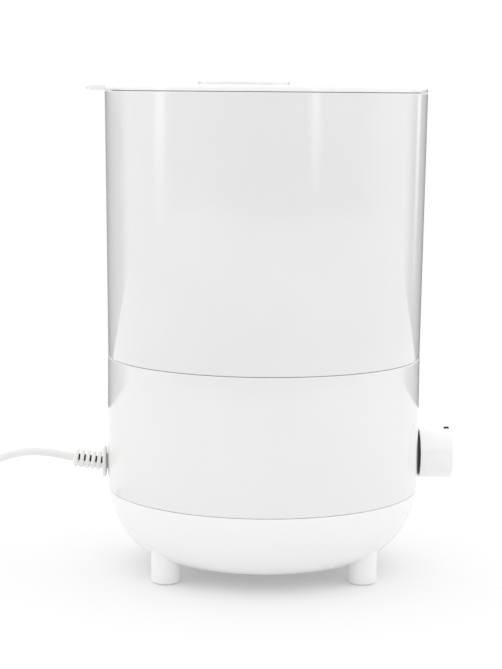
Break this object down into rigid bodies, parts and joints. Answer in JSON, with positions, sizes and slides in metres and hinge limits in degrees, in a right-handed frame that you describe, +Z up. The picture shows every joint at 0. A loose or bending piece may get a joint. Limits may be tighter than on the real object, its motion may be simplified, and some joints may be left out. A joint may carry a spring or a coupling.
{
  "type": "cool mist humidifier",
  "caption": "Round table-top ultrasonic humidifier: lift-off tank and lid with a mist nozzle, a base with a bowl-shaped bottom and short feet, a side knob, and a power cord.",
  "frame": {"origin": "centre of the floor area under the humidifier, on the surface that it stands on", "axes": "+Z up, +X towards the knob, -X towards the power cord, +Y to the left when looking along +X"},
  "size_m": [0.3956, 0.198, 0.2943],
  "materials": {
    "lid_white": "glossy white moulded plastic",
    "tank_white": "glossy white moulded plastic, very slightly cool",
    "base_white": "glossy white moulded plastic",
    "cup_white": "glossy white moulded plastic",
    "knob_white": "satin to glossy white moulded plastic",
    "inner_white": "satin white moulded plastic",
    "seal_rubber": "matte grey silicone",
    "black_plastic": "matte black",
    "board_green": "green solder mask, satin",
    "steel": "bright zinc-plated steel",
    "aluminium": "plain extruded aluminium",
    "brass": "plain brass",
    "winding_yellow": "yellow tape over a ferrite core",
    "foam_white": "closed-cell foam",
    "ferrite": "dark sintered magnet",
    "cord_white": "satin white cord jacket"
  },
  "bodies": {
    "base": {"base_housing": "base_white", "tray_ledge": "base_white", "water_tray": "inner_white", "tray_rim": "inner_white", "mist_well": "inner_white", "riser_tube": "inner_white", "valve_pin": "inner_white", "float_post": "inner_white", "transducer_seal": "seal_rubber", "transducer_disc": "brass", "float_clip": "inner_white", "reed_switch": "black_plastic", "fan_frame": "black_plastic", "air_duct": "inner_white", "circuit_board": "board_green", "heat_sink": "aluminium", "transformer": "winding_yellow", "pot_body": "steel", "knob_bezel": "black_plastic", "bottom_cup": "cup_white", "cup_floor": "cup_white", "foot_1": "cup_white", "foot_2": "cup_white", "foot_3": "cup_white", "foot_4": "cup_white", "foot_pad_1": "seal_rubber", "foot_pad_2": "seal_rubber", "foot_pad_3": "seal_rubber", "foot_pad_4": "seal_rubber", "foot_screw_1": "steel", "foot_screw_2": "steel", "foot_screw_3": "steel", "foot_screw_4": "steel", "strain_relief": "cord_white", "power_cord_lead": "cord_white", "power_cord_tail": "cord_white", "cord_coil": "cord_white", "plug_body": "cord_white", "plug_blade_1": "brass", "plug_blade_2": "brass", "mains_lead": "cord_white"},
    "tank": {"tank_shell": "tank_white", "tank_floor": "tank_white", "mist_socket": "tank_white", "valve_neck": "tank_white", "mist_chimney": "inner_white", "valve_cap": "inner_white", "valve_spring": "steel"},
    "lid": {"lid": "lid_white", "lid_seal": "seal_rubber"},
    "nozzle": {"mist_nozzle": "lid_white", "nozzle_retainer": "inner_white"},
    "valve": {"valve_plunger": "inner_white", "valve_seal": "seal_rubber"},
    "float": {"float_ring": "foam_white", "float_magnet": "ferrite"},
    "fan": {"fan_rotor": "black_plastic"},
    "knob": {"knob": "knob_white", "knob_pointer": "black_plastic", "pot_shaft": "steel"}
  },
  "joints": [
    {"name": "tank_lift", "type": "slide", "parent": "base", "child": "tank", "axis": [0, 0, 1], "range_m": [0, 0.06]},
    {"name": "lid_lift", "type": "slide", "parent": "tank", "child": "lid", "axis": [0, 0, 1], "range_m": [0, 0.04]},
    {"name": "nozzle_turn", "type": "hinge", "parent": "lid", "child": "nozzle", "pos_m": [-0.0133, 0, 0.29], "axis": [0, 0, 1], "continuous": true},
    {"name": "valve_open", "type": "slide", "parent": "tank", "child": "valve", "axis": [0, 0, 1], "range_m": [0, 0.0035], "stiffness_N_per_m": 150, "springref_m": -0.003, "deforming": ["valve_spring"]},
    {"name": "knob_turn", "type": "hinge", "parent": "base", "child": "knob", "pos_m": [0.1, 0, 0.07], "axis": [1, 0, 0], "range_deg": [-135, 135]},
    {"name": "float_rise", "type": "slide", "parent": "base", "child": "float", "axis": [0, 0, 1], "range_m": [0, 0.0075]},
    {"name": "fan_spin", "type": "hinge", "parent": "base", "child": "fan", "pos_m": [-0.0133, 0.042, 0.022], "axis": [0, 0, 1], "continuous": true}
  ]
}
